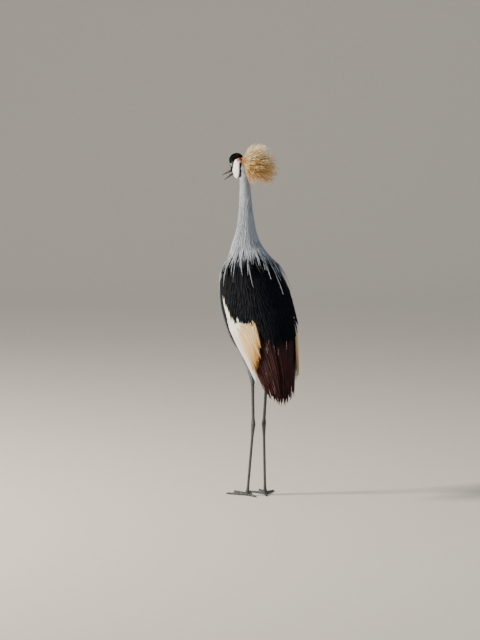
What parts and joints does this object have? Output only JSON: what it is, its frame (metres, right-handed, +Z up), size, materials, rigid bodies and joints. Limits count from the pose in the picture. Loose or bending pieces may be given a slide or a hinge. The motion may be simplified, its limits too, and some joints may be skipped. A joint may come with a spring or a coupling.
{
  "type": "grey crowned crane",
  "caption": "Life-size still model of a grey crowned crane, standing with folded wings and its head turned to the left.",
  "frame": {"origin": "on the floor, under the middle of the bird's outline", "axes": "+Z up, +Y forwards, to the side that the breast faces, +X to the bird's right"},
  "size_m": [0.2225, 0.3971, 1.0529],
  "materials": {
    "neck_grey": "pearl-grey neck feathers, soft and matte",
    "body_grey": "slate-grey body feathers, soft and matte",
    "slate_plumage": "blackish slate back feathers with a faint blue sheen",
    "white_plumage": "white wing coverts, matte",
    "golden_plumage": "loose cream to golden plumes, matte",
    "chestnut_plumage": "dark chestnut wing feathers, slightly glossy",
    "black_plumage": "black feathers, velvety on the head",
    "crest_straw": "stiff straw-coloured bristles",
    "bare_white_skin": "bare white cheek skin with a red edge, smooth",
    "red_wattle": "bare red throat skin, finely wrinkled",
    "bill_and_claw_horn": "dark grey horn, satin",
    "leg_scutes": "blackish scaled leg skin, satin",
    "eye": "wet pale eye with a dark pupil"
  },
  "bodies": {
    "root": {"bill_lower": "bill_and_claw_horn", "bill_upper": "bill_and_claw_horn", "cheek_left": "bare_white_skin", "cheek_right": "bare_white_skin", "claw_left_hind": "bill_and_claw_horn", "claw_left_inner": "bill_and_claw_horn", "claw_left_middle": "bill_and_claw_horn", "claw_left_outer": "bill_and_claw_horn", "claw_right_hind": "bill_and_claw_horn", "claw_right_inner": "bill_and_claw_horn", "claw_right_middle": "bill_and_claw_horn", "claw_right_outer": "bill_and_claw_horn", "crest": "crest_straw", "eye_left": "eye", "eye_right": "eye", "foot_left": "leg_scutes", "foot_right": "leg_scutes", "forehead_cushion": "black_plumage", "head": "black_plumage", "mantle": "slate_plumage", "neck_base": "neck_grey", "neck_lower": "neck_grey", "neck_upper": "neck_grey", "shank_left": "leg_scutes", "shank_right": "leg_scutes", "tail": "black_plumage", "tarsus_left": "leg_scutes", "tarsus_right": "leg_scutes", "thigh_left": "body_grey", "thigh_right": "body_grey", "throat_wattle": "red_wattle", "torso": "body_grey", "wing_coverts_left": "white_plumage", "wing_coverts_right": "white_plumage", "wing_plumes_left": "golden_plumage", "wing_plumes_right": "golden_plumage", "wing_primaries_left": "black_plumage", "wing_primaries_right": "black_plumage", "wing_secondaries_left": "chestnut_plumage", "wing_secondaries_right": "chestnut_plumage"}
  },
  "joints": []
}
